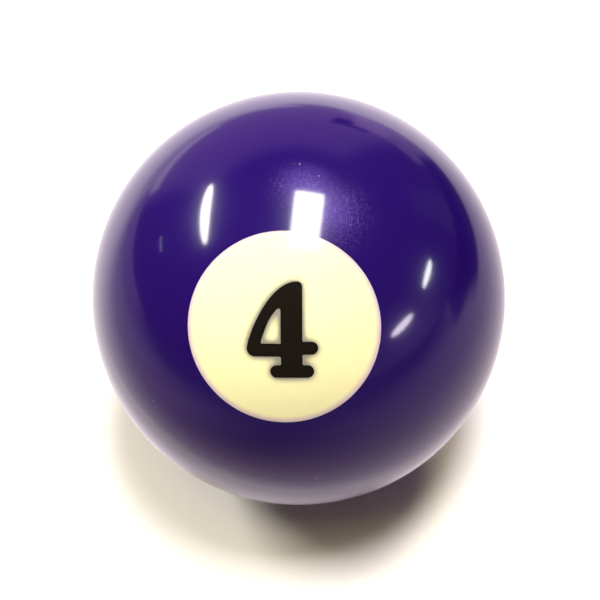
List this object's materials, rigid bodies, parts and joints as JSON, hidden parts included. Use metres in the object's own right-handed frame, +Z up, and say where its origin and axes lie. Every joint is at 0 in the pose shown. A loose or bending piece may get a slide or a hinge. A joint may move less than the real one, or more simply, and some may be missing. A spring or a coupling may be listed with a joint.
{
  "type": "numbered pool ball",
  "caption": "Solid pool ball in purple with a flush ivory disc and black numeral at each of two opposite poles.",
  "frame": {"origin": "centre of the ball", "axes": "+Z up from the point it rests on; the number axis lies in the YZ plane, its front end 45 degrees up from -Y"},
  "size_m": [0.0572, 0.0572, 0.0572],
  "materials": {
    "purple_resin": "cast phenolic resin, polished to a high gloss, with fine handling scratches",
    "ivory_resin": "cast phenolic resin, slightly translucent, polished flush with the ball",
    "black_resin": "cast phenolic resin, polished flush with the disc"
  },
  "bodies": {
    "root": {"ball_body": "purple_resin", "number_disc_front": "ivory_resin", "number_disc_back": "ivory_resin", "numeral_front": "black_resin", "numeral_back": "black_resin"}
  },
  "joints": []
}
